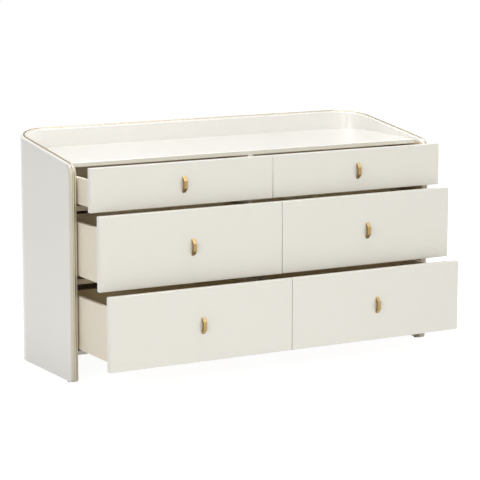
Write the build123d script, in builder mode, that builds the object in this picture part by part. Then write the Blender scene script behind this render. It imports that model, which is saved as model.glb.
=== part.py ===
from build123d import *
import os

# A dresser with six drawers in two columns, in millimetres.
#
# One tall panel wraps round the two sides and the back. It is bent at its back corners,
# its top edge slopes from a gallery at the back down to the worktop at the front, and a
# thin metal strip is let into the middle of its rounded edge. The worktop, the bottom
# panel, a divider and four rails stand inside it. Each drawer is a box with a slab front
# and a bow handle, and runs on a pair of three-part runners hidden under its bottom.
# The drawers stand open in steps, the lowest the furthest.

# The wrap-around panel
width = 1500.0
depth = 520.0
panel = 27.0
back_corner_radius = 133.0      # outside, seen from above
gallery_rise = 71.5             # back of the wrap above the worktop
top_corner_radius = 38.0        # front corners, seen from the side
toe_corner_radius = 12.0
inlay_width = 8.0
inlay_depth = 2.0
inlay_margin = 0.5              # flat edge left beside the inlay
inlay_end = 8.0                 # lower end of the inlay above the panel's lower edge

# Feet
foot_height = 6.0
foot_diameter = 16.0
foot_inset = 48.0               # foot centre from the front edge and from the back corners

# Decks, divider and rails
skirt_height = 87.5             # floor to the lower edge of the lowest drawer fronts
deck = 15.0                     # worktop and bottom panel
deck_recess = 58.0              # front edges of the inside boards behind the sides' front edge
deck_ease = 1.5
board = 18.0                    # divider and rails
rail_depth = 70.0
front_lap = 1.0                 # drawer fronts past the worktop and the bottom panel
rail_lap = {"top": 1.5, "middle": 6.5}      # rails above the lower edge of the front over them

# Drawer fronts, from the top row to the bottom row
front_heights = {"top": 154.5, "middle": 260.0, "bottom": 260.5}
open_at_rest = {"top": 136.0, "middle": 203.0, "bottom": 274.5}
front_thickness = 22.0
row_gap = 4.5                   # between a front and the one above it
front_gap = 2.0                 # between the two fronts of a row
front_side_gap = 1.5            # between a front and the side panel
front_stop_gap = 2.0            # between a closed front and the carcass
front_ease = 1.5

# Drawer boxes
box_rise = {"top": 17.0, "middle": 29.5, "bottom": 33.0}    # above the front's lower edge
box_drop = {"top": 45.0, "middle": 43.0, "bottom": 39.0}    # below the front's upper edge
box_overrun = 14.5              # box behind its runners
box_side_gap = 5.5              # between a box and the wall beside it
box_board = 15.0
box_ease = 1.0
bottom_board = 8.0
bottom_recess = 13.0            # drawer bottom above the sides' lower edges
bottom_groove = 5.0             # depth of the drawer bottom's groove in the sides

# Runners, in section: three folded sheets nested on one track
sheet = 1.5
running_gap = 0.4
track_center = 35.0             # from the wall to the middle of the track
track_half_width = 6.0
flange_drop = 12.0              # foot of the wall flange below the box
shelf_drop = 5.0                # shelf of the fixed part below the box
sleeve_foot = 1.5               # lower edge of the middle part above the box's lower edge
cap_foot = 4.0                  # lower edge of the drawer's part above the box's lower edge
runner_setback = 3.0            # runners behind the deck's front edge

# Handles
handle_height = 60.0
handle_flat = 26.0              # straight front of the bow
handle_projection = 16.0
handle_thickness = 9.0
handle_width = 13.0
handle_foot = 11.0
handle_drop = 2.5               # handle below the middle of its front
handle_bend = 12.0
handle_ease = 1.5

# Levels, from the floor up
front_bottoms = {}
level = skirt_height
for row in ("bottom", "middle", "top"):
    front_bottoms[row] = level
    level += front_heights[row] + row_gap
worktop = level - row_gap - front_lap
bottom_deck = skirt_height + front_lap
rim = worktop + gallery_rise

# Distances from front to back: the origin is in the middle of the open dresser
closed_face = deck_recess - front_stop_gap - front_thickness
reach = max(open_at_rest.values()) + handle_projection - closed_face
back = (depth + reach) / 2
front = back - depth
deck_front = front + deck_recess
inner_back = back - panel
bend_start = back - back_corner_radius
runner_length = bend_start - deck_front - runner_setback
box_length = runner_length + box_overrun

# Distances across
inner_side = width / 2 - panel
inner_radius = back_corner_radius - panel
edge_radius = (panel - inlay_width) / 2 - inlay_margin
columns = {"left": (-inner_side, -board / 2), "right": (board / 2, inner_side)}


def wrap_outline(inset):
    """Draw the outline of the wrap seen from above, moved inwards by inset."""
    with BuildSketch(mode=Mode.PRIVATE) as outline:
        with Locations((0, front)):
            Rectangle(width - 2 * inset, depth - inset, align=(Align.CENTER, Align.MIN))
        fillet(outline.vertices().group_by(Axis.Y)[-1], back_corner_radius - inset)
    return outline.sketch


def wrap_sketch(outside, inside):
    """Add the open band between two outlines of the wrap to the sketch being built."""
    add(wrap_outline(outside))
    add(wrap_outline(inside), mode=Mode.SUBTRACT)


def side_outline(inset):
    """Draw the outline of the wrap seen from the side, moved inwards by inset."""
    with BuildSketch(mode=Mode.PRIVATE) as outline:
        with BuildLine():
            Polyline(
                (front, foot_height), (back, foot_height), (back, rim), (front, worktop), close=True
            )
        make_face()
        front_corners = outline.vertices().group_by(Axis.X)[0].sort_by(Axis.Y)
        fillet(front_corners[0], toe_corner_radius)
        fillet(front_corners[-1], top_corner_radius)
        if inset:
            offset(amount=-inset)
    return outline.sketch


def toe_strip():
    """Draw the strip between the floor and the top of the rounded toe, seen from the side."""
    with BuildSketch(mode=Mode.PRIVATE) as strip:
        with Locations((front, 0)):
            Rectangle(depth, foot_height + toe_corner_radius, align=(Align.MIN, Align.MIN))
    return strip.sketch


def fill(x_span, y_span, z_span, mode=Mode.ADD):
    """Add a straight board between three pairs of faces to the part being built."""
    with Locations((x_span[0], y_span[0], z_span[0])):
        Box(
            x_span[1] - x_span[0],
            y_span[1] - y_span[0],
            z_span[1] - z_span[0],
            align=(Align.MIN, Align.MIN, Align.MIN),
            mode=mode,
        )


def save(part, label):
    """Write one finished piece to its own file."""
    part.label = label
    export_step(part, f"parts/{label}.step")


os.makedirs("parts", exist_ok=True)

# The inlay: a strip that follows the middle of the wrap's edge, from one toe to the other
with BuildPart() as inlay:
    with BuildSketch(Plane.XY.offset(foot_height + inlay_end)):
        wrap_sketch((panel - inlay_width) / 2, (panel + inlay_width) / 2)
    extrude(amount=rim)
    with BuildSketch(Plane.YZ):
        add(side_outline(0))
        add(side_outline(inlay_depth), mode=Mode.SUBTRACT)
    extrude(amount=width, both=True, mode=Mode.INTERSECT)

# The wrap: a bent panel, cut to its sloping outline, with rounded edges and the inlay's groove
with BuildPart() as wrap:
    with BuildSketch():
        wrap_sketch(0, panel)
    extrude(amount=2 * rim)
    with BuildSketch(Plane.YZ):
        add(side_outline(0))
        add(toe_strip())
    extrude(amount=width, both=True, mode=Mode.INTERSECT)
    bend_lines = wrap.edges().filter_by(Axis.Z).filter_by(lambda edge: edge.center().Y > front + panel)
    cross_lines = wrap.edges().filter_by(Axis.X).filter_by(lambda edge: edge.length < 2 * panel)
    lower_lines = wrap.edges().group_by(Axis.Z)[0]
    fillet(wrap.edges() - bend_lines - cross_lines - lower_lines, edge_radius)
    with BuildSketch(Plane.YZ):
        add(toe_strip())
        add(side_outline(0), mode=Mode.SUBTRACT)
    extrude(amount=width, both=True, mode=Mode.SUBTRACT)
    add(inlay.part, mode=Mode.SUBTRACT)

# The wrap is made in five lengths, and its inlay in three. They meet where the bends start.
bend_front = Plane.XZ.offset(-bend_start)
bend_side = width / 2 - back_corner_radius
for hand, bend_plane, outward in (
    ("left", Plane.YZ.offset(-bend_side), Keep.BOTTOM),
    ("right", Plane.YZ.offset(bend_side), Keep.TOP),
):
    for whole, length, label in (
        (wrap, Keep.TOP, "side"), (wrap, Keep.BOTTOM, "corner"), (inlay, Keep.TOP, "inlay"),
    ):
        with BuildPart() as piece:
            add(whole.part)
            split(bisect_by=bend_plane, keep=outward)
            split(bisect_by=bend_front, keep=length)
        save(piece.part, f"{label}_{hand}")

with BuildPart() as back_panel:
    add(wrap.part)
    split(bisect_by=Plane.YZ.offset(-bend_side), keep=Keep.TOP)
    split(bisect_by=Plane.YZ.offset(bend_side), keep=Keep.BOTTOM)
save(back_panel.part, "back_panel")

with BuildPart() as inlay_back:
    add(inlay.part)
    split(bisect_by=bend_front, keep=Keep.BOTTOM)
save(inlay_back.part, "inlay_back")

# Worktop and bottom panel: they fill the wrap between its bent corners
for label, underside in (("worktop", worktop - deck), ("bottom_panel", bottom_deck)):
    with BuildPart() as deck_panel:
        with BuildSketch(Plane.XY.offset(underside)) as deck_outline:
            with Locations((0, deck_front)):
                Rectangle(2 * inner_side, inner_back - deck_front, align=(Align.CENTER, Align.MIN))
            fillet(deck_outline.vertices().group_by(Axis.Y)[-1], inner_radius)
        extrude(amount=deck)
        chamfer(deck_panel.faces().sort_by(Axis.Y)[0].edges().filter_by(Axis.X), deck_ease)
    save(deck_panel.part, label)

# Divider: a full-height board between the two columns
with BuildPart() as divider:
    fill((-board / 2, board / 2), (deck_front, inner_back), (bottom_deck + deck, worktop - deck))
save(divider.part, "divider")

# Rails: one above each of the two lower rows, in both columns
for row_above, label in (("top", "rails_upper"), ("middle", "rails_lower")):
    rail_top = front_bottoms[row_above] + rail_lap[row_above]
    with BuildPart() as rails:
        for wall_span in columns.values():
            fill(wall_span, (deck_front, deck_front + rail_depth), (rail_top - board, rail_top))
    save(rails.part, label)

# Glides: discs under the lower edge, at the front of the sides and at the ends of the back
side_foot = ((width - panel) / 2, front + foot_inset, 0)
back_foot = (bend_side - foot_inset, back - panel / 2, 0)
with BuildPart() as glides:
    with Locations([(hand * x, y, z) for hand in (-1, 1) for x, y, z in (side_foot, back_foot)]):
        Cylinder(foot_diameter / 2, foot_height, align=(Align.CENTER, Align.CENTER, Align.MIN))
save(glides.part, "glides")


def folded_sheet(points):
    """Add the section of a folded sheet to the sketch being built, with square folds."""
    for (x0, z0), (x1, z1) in zip(points, points[1:]):
        with Locations(((x0 + x1) / 2, (z0 + z1) / 2)):
            Rectangle(abs(x1 - x0) + sheet, abs(z1 - z0) + sheet)


def runner_pair(wall_span, base, moved, section):
    """Add a left and a right runner part, their section drawn from the wall inwards."""
    runner_front = deck_front + runner_setback - moved
    for wall, inwards in ((wall_span[0], 1), (wall_span[1], -1)):
        with BuildSketch(Plane.XZ.offset(-runner_front)) as profile:
            folded_sheet([(wall + inwards * u, base + v) for u, v in section])
        extrude(profile.sketch, amount=-runner_length)


# Runner sections, as points in the middle of the sheet from the wall inwards
nesting = sheet + running_gap
cap_level = bottom_recess - sheet / 2
track_level = cap_level - 2 * nesting
track_near = track_center - track_half_width
track_far = track_center + track_half_width
track_section = [
    (sheet / 2, -flange_drop), (sheet / 2, -shelf_drop), (track_near, -shelf_drop),
    (track_near, track_level), (track_far, track_level), (track_far, -shelf_drop),
]
sleeve_section = [
    (track_near - nesting, sleeve_foot + sheet / 2), (track_near - nesting, track_level + nesting),
    (track_far + nesting, track_level + nesting), (track_far + nesting, sleeve_foot + sheet / 2),
]
cap_section = [
    (track_near - 2 * nesting, cap_foot + sheet / 2), (track_near - 2 * nesting, cap_level),
    (track_far + 2 * nesting, cap_level), (track_far + 2 * nesting, cap_foot + sheet / 2),
]
box_bases = {row: front_bottoms[row] + box_rise[row] for row in front_heights}

# Fixed runners: one pair for each drawer, all on the carcass
with BuildPart() as fixed_runners:
    for row in front_heights:
        for wall_span in columns.values():
            runner_pair(wall_span, box_bases[row], 0, track_section)
save(fixed_runners.part, "fixed_runners")


def trapezium(reach, half_foot, half_flat, bend):
    """Draw a trapezium on its long side, with its two far corners rounded."""
    with BuildSketch(mode=Mode.PRIVATE) as outline:
        with BuildLine():
            Polyline((0, -half_foot), (reach, -half_flat), (reach, half_flat), (0, half_foot), close=True)
        make_face()
        fillet(outline.vertices().group_by(Axis.X)[-1], bend)
    return outline.sketch


# A handle seen from the side, standing on its front at height zero: its bow and its opening
bow = trapezium(handle_projection, handle_height / 2, handle_flat / 2, handle_bend)
grip = trapezium(
    handle_projection - handle_thickness,
    handle_height / 2 - handle_foot,
    (handle_flat - handle_thickness) / 2,
    handle_bend - handle_thickness,
)

for row, front_height in front_heights.items():
    for column, (wall_low, wall_high) in columns.items():
        name = f"{row}_{column}"
        opened = open_at_rest[row]
        face = front + closed_face - opened
        slab_back = face + front_thickness
        slab_base = front_bottoms[row]
        slab_top = slab_base + front_height
        box_base = box_bases[row]
        box_top = slab_top - box_drop[row]
        box_low, box_high = wall_low + box_side_gap, wall_high - box_side_gap
        inner_low, inner_high = box_low + box_board, box_high - box_board
        groove_base = box_base + bottom_recess

        # Front: a slab that covers half the divider and stops short of the side panel
        if column == "left":
            front_span = (wall_low + front_side_gap, -front_gap / 2)
        else:
            front_span = (front_gap / 2, wall_high - front_side_gap)
        with BuildPart() as slab:
            fill(front_span, (face, slab_back), (slab_base, slab_top))
            fillet(slab.faces().sort_by(Axis.Y)[0].edges(), front_ease)
        save(slab.part, f"front_{name}")

        # Box: two grooved sides, a front and a back board between them, and the bottom
        with BuildPart() as box_sides:
            for side_span in ((box_low, inner_low), (inner_high, box_high)):
                fill(side_span, (slab_back, slab_back + box_length), (box_base, box_top))
            chamfer(box_sides.edges().filter_by(Axis.Y).group_by(Axis.Z)[-1], box_ease)
            fill(
                (inner_low - bottom_groove, inner_high + bottom_groove),
                (slab_back, slab_back + box_length),
                (groove_base, groove_base + bottom_board),
                mode=Mode.SUBTRACT,
            )
        save(box_sides.part, f"box_sides_{name}")

        with BuildPart() as box_ends:
            for end_front in (slab_back, slab_back + box_length - box_board):
                fill(
                    (inner_low, inner_high),
                    (end_front, end_front + box_board),
                    (groove_base + bottom_board, box_top),
                )
            chamfer(box_ends.edges().filter_by(Axis.X).group_by(Axis.Z)[-1], box_ease)
        save(box_ends.part, f"box_ends_{name}")

        with BuildPart() as box_bottom:
            fill(
                (inner_low - bottom_groove, inner_high + bottom_groove),
                (slab_back, slab_back + box_length),
                (groove_base, groove_base + bottom_board),
            )
        save(box_bottom.part, f"box_bottom_{name}")

        # Runners: the drawer's cap travels all the way, the sleeve between half as far
        with BuildPart() as caps:
            runner_pair((wall_low, wall_high), box_base, opened, cap_section)
        save(caps.part, f"runner_caps_{name}")

        with BuildPart() as sleeves:
            runner_pair((wall_low, wall_high), box_base, opened / 2, sleeve_section)
        save(sleeves.part, f"runner_sleeves_{name}")

        # Handle: a bow that stands upright in the middle of the front
        handle_plane = Plane(
            origin=(sum(front_span) / 2, face, (slab_base + slab_top) / 2 - handle_drop),
            x_dir=(0, -1, 0),
            z_dir=(-1, 0, 0),
        )
        with BuildPart() as handle:
            with BuildSketch(handle_plane):
                add(bow)
            extrude(amount=handle_width / 2, both=True)
            outline_edges = handle.faces().filter_by(Axis.X).edges()
            chamfer(outline_edges.filter_by(lambda edge: edge.center().Y < face - handle_ease), handle_ease)
            with BuildSketch(handle_plane):
                add(grip)
            extrude(amount=handle_width, both=True, mode=Mode.SUBTRACT)
        save(handle.part, f"handle_{name}")
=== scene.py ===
import math

import bmesh
import bpy
from mathutils import Matrix, Vector


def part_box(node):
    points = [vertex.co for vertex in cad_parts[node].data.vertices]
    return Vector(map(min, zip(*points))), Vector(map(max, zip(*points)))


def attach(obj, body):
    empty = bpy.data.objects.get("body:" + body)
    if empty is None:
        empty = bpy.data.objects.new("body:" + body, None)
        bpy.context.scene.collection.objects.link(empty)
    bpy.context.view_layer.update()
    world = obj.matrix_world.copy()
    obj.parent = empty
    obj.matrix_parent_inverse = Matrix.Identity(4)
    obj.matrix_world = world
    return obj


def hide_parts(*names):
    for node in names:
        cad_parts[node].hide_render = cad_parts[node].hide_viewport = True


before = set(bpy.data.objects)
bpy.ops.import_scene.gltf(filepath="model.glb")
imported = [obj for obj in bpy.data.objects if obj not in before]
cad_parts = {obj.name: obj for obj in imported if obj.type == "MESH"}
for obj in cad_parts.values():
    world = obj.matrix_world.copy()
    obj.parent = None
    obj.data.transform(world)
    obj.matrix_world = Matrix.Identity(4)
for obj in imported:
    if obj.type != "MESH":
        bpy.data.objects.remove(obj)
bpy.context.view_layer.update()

# Sizes in metres, the same as in the part's source
PANEL = 0.027
BACK_RADIUS = 0.133
GALLERY = 0.0715                # the gallery at the back stands this far above the worktop
TOP_RADIUS = 0.038              # the sides' upper front corners, seen from the side
TOE_RADIUS = 0.012
INLAY_WIDTH = 0.008
INLAY_DEPTH = 0.002
INLAY_MARGIN = 0.0005           # flat edge left beside the inlay
INLAY_END = 0.008               # the inlay ends this far above the wrap's lower edge
EDGE_RADIUS = (PANEL - INLAY_WIDTH) / 2 - INLAY_MARGIN
FRONT_EASE = 0.0015

# Sizes in metres that aren't in the source, or differ from it
INLAY_RISE = 0.0032             # the inlay is domed and stands proud by this much
INLAY_PLAY = 0.00005            # between the inlay and its groove
WORKTOP_EXTRA = 0.0014          # the worktop's underside lies this much lower
REAR_EASE = 0.0006              # the fronts' edges behind
# How far the lower and the upper edge of each row's fronts are moved
ROW_TRIM = {"top": (-0.0005, -0.002), "middle": (0.0004, 0.0), "bottom": (0.0, -0.0008)}
# The bow handle; its thickness, its bends and its ease differ from the source
HANDLE = {"height": 0.060, "flat": 0.026, "projection": 0.016, "thickness": 0.0105,
          "width": 0.013, "foot": 0.011, "bend": 0.005, "inner_bend": 0.003, "ease": 0.001}
TOLERANCE = 1e-6

# Steps of the wrap's mesh, and of the roundings
CORNER_STEPS = 10
SIDE_STEPS = 8
BEND_STEPS = 28
BACK_STEPS = 16
RISE_STEPS = 14
EDGE_STEPS = 7
DOME_STEPS = 8
BOW_STEPS = 8
EASE_STEPS = 4
REAR_STEPS = 2

# Edges that turn by more than this, in degrees, stay sharp
WRAP_SHARP = 40
SHARP = 50

# A face looks up, forwards or sideways when its normal has more than this of that direction
UPWARD = 0.3
FORWARD = 0.6
SIDEWAYS = 0.9

# The slots of the wrap's materials, and where its painted shade and its inside's laminate end, in
# metres
PLAIN_SLOT, EDGE_SHADE_SLOT, INNER_SHADE_SLOT, RIM_SHADE_SLOT = range(4)
EDGE_SHADE_DEPTH = 0.010               # the front edges' painted shade: this far back, and below the worktop
CORNER_SHADE_DEPTH = 0.030             # the upper front corners' painted shade: this far back
LEVEL_DROP = 0.008              # the inside's lacquer: down to this far below the worktop's face; below it the darker laminate, partly painted shade

ROWS = ("top", "middle", "bottom")
COLUMNS = ("left", "right")


# ---------------------------------------------------------------- materials

def new_material(name):
    material = bpy.data.materials.new(name)
    material.use_nodes = True
    nodes = material.node_tree.nodes
    nodes.clear()
    output = nodes.new("ShaderNodeOutputMaterial")
    shader = nodes.new("ShaderNodeBsdfPrincipled")
    material.node_tree.links.new(shader.outputs["BSDF"], output.inputs["Surface"])
    return material, shader


def noise(material, scale, detail, stretch=(1.0, 1.0, 1.0)):
    """A noise texture in object coordinates, in metres, stretched along the axes."""
    nodes, links = material.node_tree.nodes, material.node_tree.links
    place = nodes.new("ShaderNodeTexCoord")
    mapping = nodes.new("ShaderNodeMapping")
    mapping.inputs["Scale"].default_value = stretch
    texture = nodes.new("ShaderNodeTexNoise")
    texture.inputs["Scale"].default_value = scale
    texture.inputs["Detail"].default_value = detail
    links.new(place.outputs["Object"], mapping.inputs["Vector"])
    links.new(mapping.outputs["Vector"], texture.inputs["Vector"])
    return texture.outputs["Fac"]


def vary_colour(material, shader, value, between, tones):
    """Colour the shader from a darker to a lighter tone, between two levels of a texture value."""
    node = material.node_tree.nodes.new("ShaderNodeValToRGB")
    for element, position, tone in zip(node.color_ramp.elements, between, tones):
        element.position = position
        element.color = (*tone, 1.0)
    material.node_tree.links.new(value, node.inputs["Fac"])
    material.node_tree.links.new(node.outputs["Color"], shader.inputs["Base Color"])


def vary_roughness(material, shader, value, between, roughness):
    """Spread the shader's roughness over a range, between two levels of a texture value."""
    node = material.node_tree.nodes.new("ShaderNodeMapRange")
    sockets = ("From Min", "From Max", "To Min", "To Max")
    for socket, number in zip(sockets, (*between, *roughness)):
        node.inputs[socket].default_value = number
    material.node_tree.links.new(value, node.inputs["Value"])
    material.node_tree.links.new(node.outputs["Result"], shader.inputs["Roughness"])


def bump(material, shader, value, strength, distance):
    """Raise the surface by a texture value, over a distance in metres."""
    node = material.node_tree.nodes.new("ShaderNodeBump")
    node.inputs["Strength"].default_value = strength
    node.inputs["Distance"].default_value = distance
    material.node_tree.links.new(value, node.inputs["Height"])
    material.node_tree.links.new(node.outputs["Normal"], shader.inputs["Normal"])


def tones_of(colour, amount):
    """Two tones, a little darker and a little lighter than the colour given."""
    return [tuple(min(1.0, c * (1 + k * amount)) for c in colour) for k in (-1, 1)]


def lacquer_material(name, colour, coat=1.0):
    material, shader = new_material(name)
    grains = noise(material, scale=60.0, detail=1.0)
    vary_colour(material, shader, grains, (0.3, 0.7), tones_of(colour, 0.004))
    vary_roughness(material, shader, grains, (0.3, 0.7), (0.285, 0.315))
    shader.inputs["Coat Weight"].default_value = coat
    shader.inputs["Coat Roughness"].default_value = 0.10
    ripples = noise(material, scale=35.0, detail=0.0)
    bump(material, shader, ripples, strength=0.02, distance=0.0002)
    return material


def laminate_material(name, colour):
    material, shader = new_material(name)
    threads = noise(material, scale=900.0, detail=2.0, stretch=(1.0, 0.06, 1.0))
    clouds = noise(material, scale=8.0, detail=4.0)
    vary_colour(material, shader, clouds, (0.25, 0.75), tones_of(colour, 0.03))
    vary_roughness(material, shader, threads, (0.2, 0.8), (0.42, 0.58))
    bump(material, shader, threads, strength=0.25, distance=0.0003)
    return material


def metal_material(name, colour, roughness, stretch, metallic=1.0, edge=(1.0, 1.0, 1.0)):
    """Brushed metal: the brushing is long where the stretch is small, and edge tints its rim."""
    material, shader = new_material(name)
    brush = noise(material, scale=700.0, detail=3.0, stretch=stretch)
    vary_colour(material, shader, brush, (0.25, 0.75), tones_of(colour, 0.08))
    vary_roughness(material, shader, brush, (0.2, 0.8), roughness)
    shader.inputs["Metallic"].default_value = metallic
    shader.inputs["Specular Tint"].default_value = (*edge, 1.0)
    bump(material, shader, brush, strength=0.15, distance=0.0002)
    return material


def plastic_material():
    material, shader = new_material("glide_plastic")
    grains = noise(material, scale=1200.0, detail=2.0)
    clouds = noise(material, scale=60.0, detail=3.0)
    tones = ((0.11, 0.10, 0.08), (0.15, 0.14, 0.115))
    vary_colour(material, shader, clouds, (0.3, 0.7), tones)
    vary_roughness(material, shader, grains, (0.3, 0.7), (0.45, 0.6))
    bump(material, shader, grains, strength=0.2, distance=0.0002)
    return material


lacquer = lacquer_material("lacquer", (0.745, 0.728, 0.672))
front_lacquer = lacquer_material("front_lacquer", (0.755, 0.737, 0.662))
# The divider in a lighter lacquer than the carcass: painted light where it sits in shade.
divider_lit_lacquer = lacquer_material("divider_lit_lacquer", (0.93, 0.90, 0.83))
# The worktop's top in a darker, cooler lacquer: painted shade against the strong top light.
worktop_shaded_lacquer = lacquer_material("worktop_shaded_lacquer", (0.705, 0.695, 0.65))
# Its front edge in a lighter, warmer lacquer: painted bounce light from the open drawer below.
worktop_edge_lit = lacquer_material("worktop_edge_lit", (0.79, 0.785, 0.705))
# The sides' front edges in a darker beige: painted shade.
edge_shade_lacquer = lacquer_material("edge_shade_lacquer", (0.60, 0.56, 0.45))
front_upper_lacquer = lacquer_material("front_upper_lacquer", (0.655, 0.64, 0.575))
# A darker lacquer without coat for the rim: painted shade that takes out its highlights.
rim_shade_lacquer = lacquer_material("rim_shade_lacquer", (0.66, 0.645, 0.59), coat=0.0)
laminate = laminate_material("box_laminate", (0.82, 0.75, 0.62))
# The boxes' bottoms in a browner laminate than their sides: painted warm shade.
box_inside_shade = laminate_material("box_inside_shade", (0.70, 0.605, 0.435))
# The end boards of the boxes have a tone for each row: painted light and shade, lighter or darker
# as light reaches each row's box.
END_SHADE_COLOURS = {"top": (0.545, 0.495, 0.42), "middle": (0.92, 0.82, 0.63),
               "bottom": (0.67, 0.55, 0.34)}
end_shade_laminates = {f"box_ends_{row}": laminate_material(f"box_ends_{row}", colour)
                 for row, colour in END_SHADE_COLOURS.items()}
# The rails in a lighter, warmer laminate than the boxes: painted light where they sit in shade.
rail_lit_laminate = laminate_material("rail_lit_laminate", (0.93, 0.82, 0.61))
# The carcass's inside below the worktop: a darker brown laminate, partly its own colour and partly
# painted shade.
inner_laminate_shade = laminate_material("inner_laminate_shade", (0.56, 0.46, 0.31))
inlay_metal = metal_material("inlay_champagne", (0.46, 0.405, 0.295), (0.40, 0.50),
                             (1.0, 0.05, 0.05), metallic=0.9, edge=(0.50, 0.45, 0.37))
handle_metal = metal_material("handle_gold", (0.43, 0.29, 0.122), (0.24, 0.34),
                              (0.08, 1.0, 1.0), metallic=0.85)
# The handles' sides in a darker gold: painted shade, for the dark surroundings their reflection
# would see.
handle_side_shade = metal_material("handle_gold_side_shade", (0.31, 0.205, 0.085), (0.30, 0.40),
                             (1.0, 1.0, 0.08), metallic=0.85)
steel = metal_material("runner_zinc", (0.55, 0.56, 0.57), (0.30, 0.45), (1.0, 0.05, 1.0))
plastic = plastic_material()

# The carried-over CAD nodes are dressed by the start of their names, and otherwise in lacquer.
DRESS = {"box_sides": laminate, **end_shade_laminates, "box_bottom": box_inside_shade, "runner": steel,
         "fixed_runners": steel, "inlay": inlay_metal, "handle": handle_metal,
         "glides": plastic, "rails": rail_lit_laminate, "front": front_lacquer,
         "divider": divider_lit_lacquer}

for name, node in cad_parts.items():
    node.data.materials.clear()
    dresses = [material for start, material in DRESS.items() if name.startswith(start)]
    node.data.materials.append(dresses[0] if dresses else lacquer)


# ---------------------------------------------------------------- mesh tools

def finish_mesh(mesh, shell, sharp, *materials):
    """Write a bmesh into a mesh, smooth between its sharp edges, and give it its materials."""
    shell.to_mesh(mesh)
    shell.free()
    mesh.shade_smooth()
    mesh.set_sharp_from_angle(angle=math.radians(sharp))
    for material in materials:
        mesh.materials.append(material)


def shown(name, data):
    """A new object in the scene: a mesh, a lamp or a camera."""
    piece = bpy.data.objects.new(name, data)
    bpy.context.scene.collection.objects.link(piece)
    return piece


def new_piece(name, vertices, faces, materials, body, sharp):
    mesh = bpy.data.meshes.new(name)
    mesh.from_pydata([tuple(v) for v in vertices], [], faces)
    shell = bmesh.new()
    shell.from_mesh(mesh)
    bmesh.ops.recalc_face_normals(shell, faces=shell.faces)
    finish_mesh(mesh, shell, sharp, *materials)
    piece = shown(name, mesh)
    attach(piece, body)
    return piece


def weighted(piece):
    """Keep large faces flat where they meet rounded edges."""
    modifier = piece.modifiers.new("face_normals", "WEIGHTED_NORMAL")
    modifier.keep_sharp = True


def ease(shell, edges, offset, segments):
    """Round edges of a bmesh."""
    bmesh.ops.bevel(shell, geom=edges, offset=offset, segments=segments, profile=0.5,
                    affect="EDGES")


# ---------------------------------------------------------------- the wrap and its inlay

side_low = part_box("side_left")[0]
half_width = -side_low.x
foot = side_low.z
front = side_low.y
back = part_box("back_panel")[1].y
worktop_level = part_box("worktop")[1].z
slope = GALLERY / (back - front)
side_length = back - front - BACK_RADIUS
middle_radius = BACK_RADIUS - PANEL / 2
bend_length = middle_radius * math.pi / 2
back_length = 2 * (half_width - BACK_RADIUS)
total_length = 2 * (side_length + bend_length) + back_length


def plan(s, w):
    """(x, y, angle of the bend) at length s along the middle of the wrap, w outside it."""
    if s > total_length / 2:
        x, y, angle = plan(total_length - s, w)
        return -x, y, angle
    if s <= side_length:
        return -half_width + PANEL / 2 - w, front + s, 0.0
    angle = (s - side_length) / middle_radius
    if angle < math.pi / 2:
        radius = middle_radius + w
        return (-half_width + BACK_RADIUS - radius * math.cos(angle),
                back - BACK_RADIUS + radius * math.sin(angle), angle)
    x = -half_width + BACK_RADIUS + s - side_length - bend_length
    return x, back - PANEL / 2 + w, math.pi / 2


def wrap_point(s, z, w, top):
    """A point of the wrap. Its upper edge is cut along a plane, so it rises across a bend."""
    x, y, angle = plan(s, w)
    rise = slope * w * math.sin(angle) if top else 0.0
    return Vector((x, y, z + rise))


def corner(radius, inset, centre_z, end):
    """A rounded front corner of a side at one inset, as (length, height) points.

    The rounding starts at the front edge and turns up to an end angle.
    """
    points = []
    for k in range(CORNER_STEPS + 1):
        angle = math.pi + (end - math.pi) * k / CORNER_STEPS
        points.append((radius + (radius - inset) * math.cos(angle),
                       centre_z + (radius - inset) * math.sin(angle)))
    return points


def straight_lengths():
    """Lengths of the columns of points on the left half, behind its front corner."""
    bend_end = side_length + bend_length
    lengths = [TOP_RADIUS + (side_length - TOP_RADIUS) * k / SIDE_STEPS
               for k in range(1, SIDE_STEPS)]
    lengths += [side_length + bend_length * k / BEND_STEPS for k in range(BEND_STEPS + 1)]
    lengths += [bend_end + back_length * k / BACK_STEPS for k in range(1, BACK_STEPS // 2 + 1)]
    return lengths


def chains(inset):
    """The outline's upper and lower chain at one inset, as (length, height), left to right."""
    top_centre = worktop_level + slope * TOP_RADIUS - TOP_RADIUS * math.sqrt(1 + slope * slope)
    upper = corner(TOP_RADIUS, inset, top_centre, math.pi / 2 + math.atan(slope))
    lower = corner(TOE_RADIUS, inset, foot + TOE_RADIUS, 1.5 * math.pi)
    # The lower edge is square, so the rounding of the front edge runs out along the toe.
    lower = [(s, z - inset * (k / CORNER_STEPS) ** 2) for k, (s, z) in enumerate(lower)]
    for s in straight_lengths():
        y, angle = plan(s, 0.0)[1:]
        grade = slope * math.cos(angle)
        level = worktop_level + slope * (y - front)
        upper.append((s, level - inset * math.sqrt(1 + grade * grade)))
        lower.append((s, foot))
    return [chain + [(total_length - s, z) for s, z in reversed(chain[:-1])]
            for chain in (upper, lower)]


def outline(inset):
    """The closed outline at one inset, as (length, height, on the top).

    It runs up the left front edge, over the top, down the right one and back along the foot.
    """
    upper, lower = chains(inset)
    sides = []
    for start, end in ((lower[0], upper[0]), (upper[-1], lower[-1])):
        sides.append([(start[0], start[1] + (end[1] - start[1]) * k / RISE_STEPS, False)
                      for k in range(1, RISE_STEPS)])
    left, right = sides
    over = [(s, z, True) for s, z in upper]
    under = [(s, z, False) for s, z in reversed(lower)]
    return left + over + right + under


def outlines_of(section):
    """The outlines at every inset of a section."""
    return {inset: outline(inset) for inset in sorted({inset for w, inset in section})}


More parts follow.
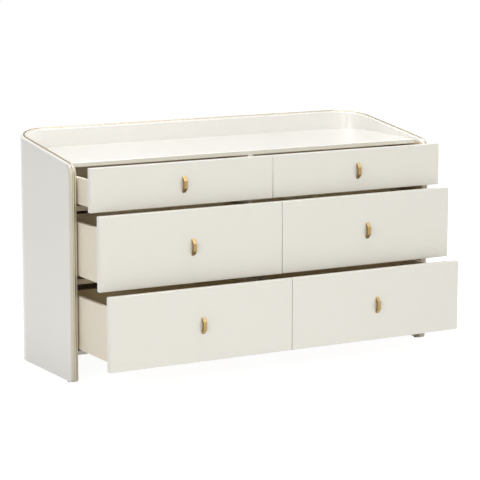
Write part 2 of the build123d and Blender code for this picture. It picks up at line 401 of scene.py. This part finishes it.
def edge_profile(with_groove):
    """The rounded edge, outer face to inner one, as (offset from the middle, inset)."""
    half = PANEL / 2
    turns = [math.pi / 2 * k / EDGE_STEPS for k in range(EDGE_STEPS + 1)]
    arc = [(half - EDGE_RADIUS + EDGE_RADIUS * math.cos(a),
            EDGE_RADIUS - EDGE_RADIUS * math.sin(a)) for a in turns]
    depth = INLAY_DEPTH if with_groove else 0.0
    outer = arc + [(INLAY_WIDTH / 2, 0.0), (INLAY_WIDTH / 2, depth)]
    return outer + [(-w, inset) for w, inset in reversed(outer)]


def add_ring(vertices, outlines, section, k):
    """Add a section's points at place k of the outline, and return their numbers."""
    first = len(vertices)
    for w, inset in section:
        s, z, top = outlines[inset][k]
        vertices.append(wrap_point(s, z, w, top))
    return list(range(first, len(vertices)))


def edge_slot(s, z, top, inside):
    """The material slot of a place on the rounded edge, on its inner or its outer half.

    The front edges below the worktop get a darker tone, painted shade. The rim's darker,
    uncoated tone, painted shade that takes out highlights, is on both upper front corners.
    From the left bend on, it is also on the inner half of the top.
    """
    length = min(s, total_length - s)
    # The front edges below the worktop: painted shade.
    if length < EDGE_SHADE_DEPTH and z < worktop_level - EDGE_SHADE_DEPTH:
        return EDGE_SHADE_SLOT
    if top and (length < CORNER_SHADE_DEPTH or inside and s > side_length):
        return RIM_SHADE_SLOT
    return PLAIN_SLOT


def face_columns(vertices, places, rings, end, w):
    """Columns of points over one large face, each from the foot to the top.

    They start and end on the rings. Those in between have a point at the level where the
    inside changes from the darker laminate, partly painted shade, to lacquer.
    """
    count = len(chains(EDGE_RADIUS)[0])
    left = range(RISE_STEPS - 1)
    top = range(RISE_STEPS - 1, RISE_STEPS - 1 + count)
    right = range(top[-1] + 1, top[-1] + RISE_STEPS)
    low = range(right[-1] + count, right[-1], -1)
    columns = []
    for low_k, top_k in zip(low, top):
        if low_k == low[0]:
            between = [rings[k][end] for k in left]
        elif low_k == low[-1]:
            between = [rings[k][end] for k in reversed(right)]
        else:
            low_s, low_z = places[low_k][:2]
            high_s, high_z = places[top_k][:2]
            high_part = min(1.0, (worktop_level - LEVEL_DROP - low_z) / (high_z - low_z))
            steps = RISE_STEPS - 1 if high_part < 1.0 else RISE_STEPS
            between = []
            for r in range(1, RISE_STEPS):
                part = high_part * r / steps
                between.append(len(vertices))
                vertices.append(wrap_point(low_s + (high_s - low_s) * part,
                                           low_z + (high_z - low_z) * part, w, False))
        columns.append([rings[low_k][end], *between, rings[top_k][end]])
    return columns


def make_wrap():
    vertices, faces, slots = [], [], []
    grooved, plain = edge_profile(True), edge_profile(False)
    outlines = outlines_of(grooved + plain)
    places = outlines[0.0]
    rings = []
    for k, (s, z, top) in enumerate(places):
        has_groove = z > foot + INLAY_END
        rings.append(add_ring(vertices, outlines, grooved if has_groove else plain, k))
    for place, here, there in zip(places, rings, rings[1:] + rings[:1]):
        for i in range(len(here) - 1):
            faces.append((here[i], there[i], there[i + 1], here[i + 1]))
            slots.append(edge_slot(*place, i >= len(here) // 2))
    # The outer face joins the first point of every ring, the inner face the last one.
    # Below the worktop the inner face takes the darker laminate, partly painted shade.
    for end, w, below in ((0, PANEL / 2, PLAIN_SLOT), (-1, -PANEL / 2, INNER_SHADE_SLOT)):
        columns = face_columns(vertices, outlines[max(outlines)], rings, end, w)
        for a, b in zip(columns, columns[1:]):
            for r in range(RISE_STEPS):
                faces.append((a[r], b[r], b[r + 1], a[r + 1]))
                slots.append(below if r < RISE_STEPS - 1 else PLAIN_SLOT)
    materials = (lacquer, edge_shade_lacquer, inner_laminate_shade, rim_shade_lacquer)
    piece = new_piece("wrap_shell", vertices, faces, materials, "carcass", WRAP_SHARP)
    piece.data.polygons.foreach_set("material_index", slots)
    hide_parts("side_left", "side_right", "corner_left", "corner_right", "back_panel")


def make_inlay():
    """A strip with a domed face, along the outline from one toe to the other."""
    half, bed = INLAY_WIDTH / 2 - INLAY_PLAY, INLAY_DEPTH - INLAY_PLAY
    turns = [math.pi * k / DOME_STEPS for k in range(DOME_STEPS + 1)]
    dome = [(half * math.cos(a), -INLAY_RISE * math.sin(a)) for a in turns]
    section = [(half, bed)] + dome + [(-half, bed)]
    outlines = outlines_of(section)
    kept = [z > foot + INLAY_END for s, z, top in outlines[0.0]]
    first = next(k for k, keep in enumerate(kept) if keep and not kept[k - 1])
    vertices, faces = [], []
    rings = [add_ring(vertices, outlines, section, (first + k) % len(kept))
             for k in range(sum(kept))]
    for here, there in zip(rings, rings[1:]):
        for i in range(len(here)):
            j = (i + 1) % len(here)
            faces.append((here[i], there[i], there[j], here[j]))
    faces += [tuple(rings[0]), tuple(reversed(rings[-1]))]
    piece = new_piece("inlay_strip", vertices, faces, (inlay_metal,), "carcass",
                      SHARP)
    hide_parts("inlay_left", "inlay_right", "inlay_back")


def make_worktop():
    """The worktop, darker on top as painted shade, with its front edge lighter as painted bounce
    light.
    """
    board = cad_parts["worktop"]
    mesh = board.data.copy()
    mesh.transform(board.matrix_world)
    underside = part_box("worktop")[0].z
    for vertex in mesh.vertices:
        if vertex.co.z < (underside + worktop_level) / 2:
            vertex.co.z -= WORKTOP_EXTRA
    mesh.materials.clear()
    mesh.materials.append(worktop_shaded_lacquer)
    mesh.materials.append(worktop_edge_lit)
    # The front edge takes the painted bounce light.
    slots = [int(p.normal.y < -FORWARD) for p in mesh.polygons]
    mesh.polygons.foreach_set("material_index", slots)
    piece = shown("worktop_slab", mesh)
    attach(piece, "carcass")
    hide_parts("worktop")


make_wrap()
make_inlay()
make_worktop()


# ---------------------------------------------------------------- drawer fronts and handles

def make_front(name, row, body):
    low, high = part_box(name)
    lower, upper = ROW_TRIM[row]
    low.z += lower
    high.z += upper
    size = high - low
    shell = bmesh.new()
    bmesh.ops.create_cube(shell, size=1.0)
    for vertex in shell.verts:
        vertex.co = Vector([low[i] + (vertex.co[i] + 0.5) * size[i] for i in range(3)])
    for y, offset, segments in ((low.y, FRONT_EASE, EASE_STEPS), (high.y, REAR_EASE, REAR_STEPS)):
        edges = [e for e in shell.edges if all(abs(v.co.y - y) < TOLERANCE for v in e.verts)]
        ease(shell, edges, offset, segments)
    mesh = bpy.data.meshes.new(name + "_slab")
    finish_mesh(mesh, shell, SHARP, front_lacquer)
    if row == "top":
        # Under the worktop the upper edge of a front gets less light.
        mesh.materials.append(front_upper_lacquer)
        slots = [int(p.normal.z > UPWARD) for p in mesh.polygons]
        mesh.polygons.foreach_set("material_index", slots)
    piece = shown(name + "_slab", mesh)
    weighted(piece)
    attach(piece, body)
    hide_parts(name)


def rounded(points, radii):
    """A closed outline in the plane, with its corners rounded."""
    result = []
    for i, (point, radius) in enumerate(zip(points, radii)):
        here = Vector(point)
        if not radius:
            result.append(here)
            continue
        before = (Vector(points[i - 1]) - here).normalized()
        after = (Vector(points[(i + 1) % len(points)]) - here).normalized()
        half_angle = before.angle(after) / 2
        centre = here + (before + after).normalized() * radius / math.sin(half_angle)
        start = here + before * radius / math.tan(half_angle) - centre
        end = here + after * radius / math.tan(half_angle) - centre
        turn = start.angle_signed(end)
        for k in range(BOW_STEPS + 1):
            angle = -turn * k / BOW_STEPS
            arm = Vector((start.x * math.cos(angle) - start.y * math.sin(angle),
                          start.x * math.sin(angle) + start.y * math.cos(angle)))
            result.append(centre + arm)
    return result


def handle_mesh():
    """A bow handle standing on its front: x across, -y out of the front, z up."""
    height, flat, out = HANDLE["height"] / 2, HANDLE["flat"] / 2, HANDLE["projection"]
    inside = out - HANDLE["thickness"]
    inner_height = height - HANDLE["foot"]
    inner_flat = flat - HANDLE["thickness"] / 2
    bend, inner_bend = HANDLE["bend"], HANDLE["inner_bend"]
    corners = [(0, -height), (out, -flat), (out, flat), (0, height), (0, inner_height),
               (inside, inner_flat), (inside, -inner_flat), (0, -inner_height)]
    bow = rounded(corners, [0, bend, bend, 0, 0, inner_bend, inner_bend, 0])
    shell = bmesh.new()
    near, far = [[shell.verts.new((x, -p.x, p.y)) for p in bow]
                 for x in (-HANDLE["width"] / 2, HANDLE["width"] / 2)]
    sides = [shell.faces.new(near), shell.faces.new(list(reversed(far)))]
    for i in range(len(bow)):
        j = (i + 1) % len(bow)
        shell.faces.new((near[j], near[i], far[i], far[j]))
    bmesh.ops.recalc_face_normals(shell, faces=shell.faces)
    # The edges that lie on the front stay square.
    free = [e for side in sides for e in side.edges if any(v.co.y < -TOLERANCE for v in e.verts)]
    ease(shell, free, HANDLE["ease"], EASE_STEPS)
    mesh = bpy.data.meshes.new("bow_handle")
    finish_mesh(mesh, shell, SHARP, handle_metal, handle_side_shade)
    # Faces turned sideways take the darker gold: painted shade.
    slots = [int(abs(p.normal.x) > SIDEWAYS) for p in mesh.polygons]
    mesh.polygons.foreach_set("material_index", slots)
    return mesh


bow_mesh = handle_mesh()
for row in ROWS:
    for column in COLUMNS:
        name = f"{row}_{column}"
        make_front(f"front_{name}", row, f"drawer_{name}")
        low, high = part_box(f"handle_{name}")
        piece = shown(f"handle_{name}_bow", bow_mesh)
        piece.location = ((low.x + high.x) / 2, high.y, (low.z + high.z) / 2)
        weighted(piece)
        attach(piece, f"drawer_{name}")
        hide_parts(f"handle_{name}")


# ---------------------------------------------------------------- floor, light and camera

FLOOR_SIZE = 40.0
FLOOR_GLOW = 0.93               # the seen floor glows, and its diffuse part takes the shadow
FLOOR_PAINT = (0.30, 0.30, 0.30, 1)
FLOOR_LIT = (0.75, 0.75, 0.74, 1)
SKY_SEEN = ((1, 1, 1, 1), 1.0)              # colour and strength
SKY_LIT = ((1.0, 0.99, 0.97, 1), 0.42)


def seen_or_lit(tree, seen, lit):
    """Mix two shaders: what the camera and mirrors see, and what lights the part."""
    nodes, links = tree.nodes, tree.links
    path = nodes.new("ShaderNodeLightPath")
    is_seen = path.outputs["Is Camera Ray"]
    for ray in ("Is Glossy Ray", "Is Transmission Ray"):
        either = nodes.new("ShaderNodeMath")
        either.operation = "MAXIMUM"
        links.new(is_seen, either.inputs[0])
        links.new(path.outputs[ray], either.inputs[1])
        is_seen = either.outputs[0]
    mix = nodes.new("ShaderNodeMixShader")
    links.new(is_seen, mix.inputs[0])
    links.new(lit, mix.inputs[1])
    links.new(seen, mix.inputs[2])
    return mix.outputs[0]


def diffuse(tree, colour):
    shader = tree.nodes.new("ShaderNodeBsdfDiffuse")
    shader.inputs["Color"].default_value = colour
    return shader.outputs[0]


def sky(tree, colour, strength):
    shader = tree.nodes.new("ShaderNodeBackground")
    shader.inputs["Color"].default_value = colour
    shader.inputs["Strength"].default_value = strength
    return shader.outputs[0]


def floor_material():
    material = bpy.data.materials.new("studio_floor")
    material.use_nodes = True
    tree = material.node_tree
    tree.nodes.clear()
    output = tree.nodes.new("ShaderNodeOutputMaterial")
    glow = tree.nodes.new("ShaderNodeEmission")
    glow.inputs["Strength"].default_value = FLOOR_GLOW
    seen = tree.nodes.new("ShaderNodeAddShader")
    tree.links.new(glow.outputs[0], seen.inputs[0])
    tree.links.new(diffuse(tree, FLOOR_PAINT), seen.inputs[1])
    mixed = seen_or_lit(tree, seen.outputs[0], diffuse(tree, FLOOR_LIT))
    tree.links.new(mixed, output.inputs["Surface"])
    return material


bpy.ops.mesh.primitive_grid_add(x_subdivisions=2, y_subdivisions=2, size=FLOOR_SIZE,
                                location=(0, 0, 0))
floor = bpy.context.object
floor.name = "studio_floor"
floor.data.materials.append(floor_material())

world = bpy.data.worlds.new("studio")
bpy.context.scene.world = world
world.use_nodes = True
world.node_tree.nodes.clear()
world_output = world.node_tree.nodes.new("ShaderNodeOutputWorld")
white, soft = [sky(world.node_tree, *tone) for tone in (SKY_SEEN, SKY_LIT)]
world.node_tree.links.new(seen_or_lit(world.node_tree, white, soft),
                          world_output.inputs["Surface"])


def lamp(name, location, target, size, power, colour, spread=180):
    """A round lamp aimed at a target: metres, watts, and the spread in degrees."""
    data = bpy.data.lights.new(name, "AREA")
    data.spread = math.radians(spread)
    data.shape = "DISK"
    data.size = size
    data.energy = power
    data.color = colour
    piece = shown(name, data)
    piece.location = location
    aim = Vector(target) - Vector(location)
    piece.rotation_euler = aim.to_track_quat("-Z", "Y").to_euler()


lamp("key", (1.4, -4.8, 4.2), (0, 0, 0.4), 2.0, 73.0, (1.0, 0.985, 0.97))
lamp("fill", (-4.8, -3.4, 2.4), (0, 0, 0.4), 3.0, 83.0, (1.0, 0.99, 0.985))
lamp("front", (-2.9, -6.2, 1.1), (0, 0, 0.4), 2.0, 22.0, (1.0, 0.99, 0.965))
lamp("top", (0.1, -0.2, 4.5), (0, 0, 0.6), 3.0, 126.0, (0.962, 0.955, 1.025))
lamp("inner", (1.5, 0.0, 1.35), (-0.75, 0.2, 0.81), 0.3, 0.25, (1.0, 0.97, 0.97), spread=20)
lamp("rim", (0.0, -0.1, 1.9), (0.78, 0.0, 0.82), 0.4, 0.23, (0.95, 0.97, 1.0), spread=32)
lamp("glint", (2.2, -1.3, 4.2), (0, -0.3, 0.45), 1.3, 10.5, (0.90, 1.0, 1.04))

# The camera stands at the front left. Its distance is counted from the front edges.
camera_data = bpy.data.cameras.new("camera")
camera_data.lens = 152.25
camera_data.sensor_width = 36.0
camera = shown("camera", camera_data)
place = Matrix.Translation((-3.6893, -6.2573 + front, 1.7011))
turn, tilt, roll = math.radians(29.999), math.radians(9.780), math.radians(0.148)
camera.matrix_world = (place @ Matrix.Rotation(-turn, 4, "Z")
                       @ Matrix.Rotation(math.pi / 2 - tilt, 4, "X")
                       @ Matrix.Rotation(roll, 4, "Z"))
bpy.context.scene.camera = camera

bpy.context.scene.view_settings.view_transform = "Standard"
